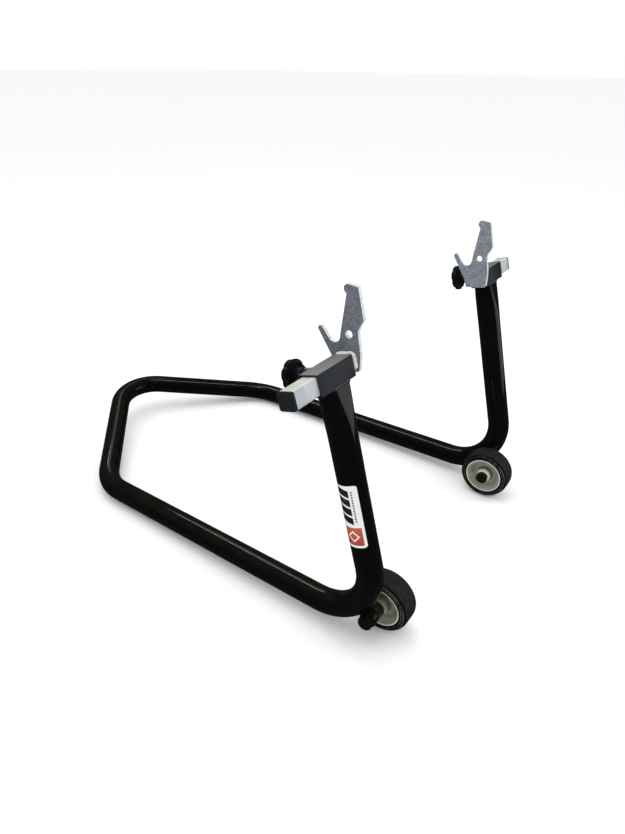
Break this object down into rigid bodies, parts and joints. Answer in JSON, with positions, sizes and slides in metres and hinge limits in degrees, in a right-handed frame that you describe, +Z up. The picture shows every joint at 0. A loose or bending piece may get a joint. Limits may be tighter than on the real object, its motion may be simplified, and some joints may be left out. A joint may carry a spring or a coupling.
{
  "type": "rear paddock stand",
  "caption": "Bent-tube rear paddock stand with a pointed handle end, leaning uprights, clamped sliding arms with forked hook plates and wheels beside the lower bends.",
  "frame": {"origin": "on the floor, at the middle of the length and width of the stand", "axes": "+X to the right-hand side as seen from the handle, +Y from the handle towards the wheels, +Z up"},
  "size_m": [0.576, 0.7451, 0.4454],
  "materials": {
    "frame_paint": "gloss black paint on steel tube",
    "sleeve_paint": "satin black paint on steel",
    "bright_zinc": "bright zinc plating",
    "zinc_plate": "mottled grey zinc plating on cut plate",
    "weld_metal": "plated weld bead, rippled",
    "knob_plastic": "black moulded plastic, low sheen",
    "plug_plastic": "black moulded polyethylene",
    "insert_brass": "knurled brass insert",
    "black_steel": "black oxide steel",
    "hub_plastic": "pale grey-green moulded plastic",
    "tyre_rubber": "smooth black rubber",
    "label_film": "printed film with a plain two-tone pattern"
  },
  "bodies": {
    "frame": {"frame_tube": "frame_paint", "side_label": "label_film", "right_sleeve": "sleeve_paint", "right_clamp_boss": "sleeve_paint", "right_axle_bush": "frame_paint", "right_axle_bolt": "black_steel", "right_axle_spacer": "bright_zinc", "right_axle_washers": "bright_zinc", "right_axle_nut": "black_steel", "left_sleeve": "sleeve_paint", "left_clamp_boss": "sleeve_paint", "left_axle_bush": "frame_paint", "left_axle_bolt": "black_steel", "left_axle_spacer": "bright_zinc", "left_axle_washers": "bright_zinc", "left_axle_nut": "black_steel"},
    "right_arm_assembly": {"right_arm": "bright_zinc", "right_arm_plug": "plug_plastic", "right_hook": "zinc_plate", "right_hook_weld": "weld_metal"},
    "right_screw": {"right_clamp_screw": "bright_zinc"},
    "right_knob_assembly": {"right_knob": "knob_plastic", "right_knob_insert": "insert_brass"},
    "right_wheel": {"right_wheel_hub": "hub_plastic", "right_tyre": "tyre_rubber"},
    "left_arm_assembly": {"left_arm": "bright_zinc", "left_arm_plug": "plug_plastic", "left_hook": "zinc_plate", "left_hook_weld": "weld_metal"},
    "left_screw": {"left_clamp_screw": "bright_zinc"},
    "left_knob_assembly": {"left_knob": "knob_plastic", "left_knob_insert": "insert_brass"},
    "left_wheel": {"left_wheel_hub": "hub_plastic", "left_tyre": "tyre_rubber"}
  },
  "joints": [
    {"name": "right_arm_slide", "type": "slide", "parent": "frame", "child": "right_arm_assembly", "axis": [-1, 0, 0], "range_m": [0, 0.045]},
    {"name": "right_clamp_travel", "type": "slide", "parent": "frame", "child": "right_screw", "axis": [0, -0.9588, -0.284], "range_m": [0, 0.004]},
    {"name": "right_knob_turn", "type": "hinge", "parent": "right_screw", "child": "right_knob_assembly", "pos_m": [0.2155, 0.23501, 0.34929], "axis": [0, -0.9588, -0.284], "range_deg": [0, 961]},
    {"name": "right_wheel_spin", "type": "hinge", "parent": "frame", "child": "right_wheel", "pos_m": [0.1745, 0.33256, 0.04], "axis": [1, 0, 0], "continuous": true},
    {"name": "left_arm_slide", "type": "slide", "parent": "frame", "child": "left_arm_assembly", "axis": [1, 0, 0], "range_m": [0, 0.045]},
    {"name": "left_clamp_travel", "type": "slide", "parent": "frame", "child": "left_screw", "axis": [0, -0.9588, -0.284], "range_m": [0, 0.004]},
    {"name": "left_knob_turn", "type": "hinge", "parent": "left_screw", "child": "left_knob_assembly", "pos_m": [-0.2155, 0.23501, 0.34929], "axis": [0, -0.9588, -0.284], "range_deg": [0, 961]},
    {"name": "left_wheel_spin", "type": "hinge", "parent": "frame", "child": "left_wheel", "pos_m": [-0.1745, 0.33256, 0.04], "axis": [1, 0, 0], "continuous": true}
  ],
  "couplings": [
    {"joint": "right_knob_turn", "follows": "right_clamp_travel", "rad_per_m": 4188.8},
    {"joint": "left_knob_turn", "follows": "left_clamp_travel", "rad_per_m": 4188.8}
  ]
}
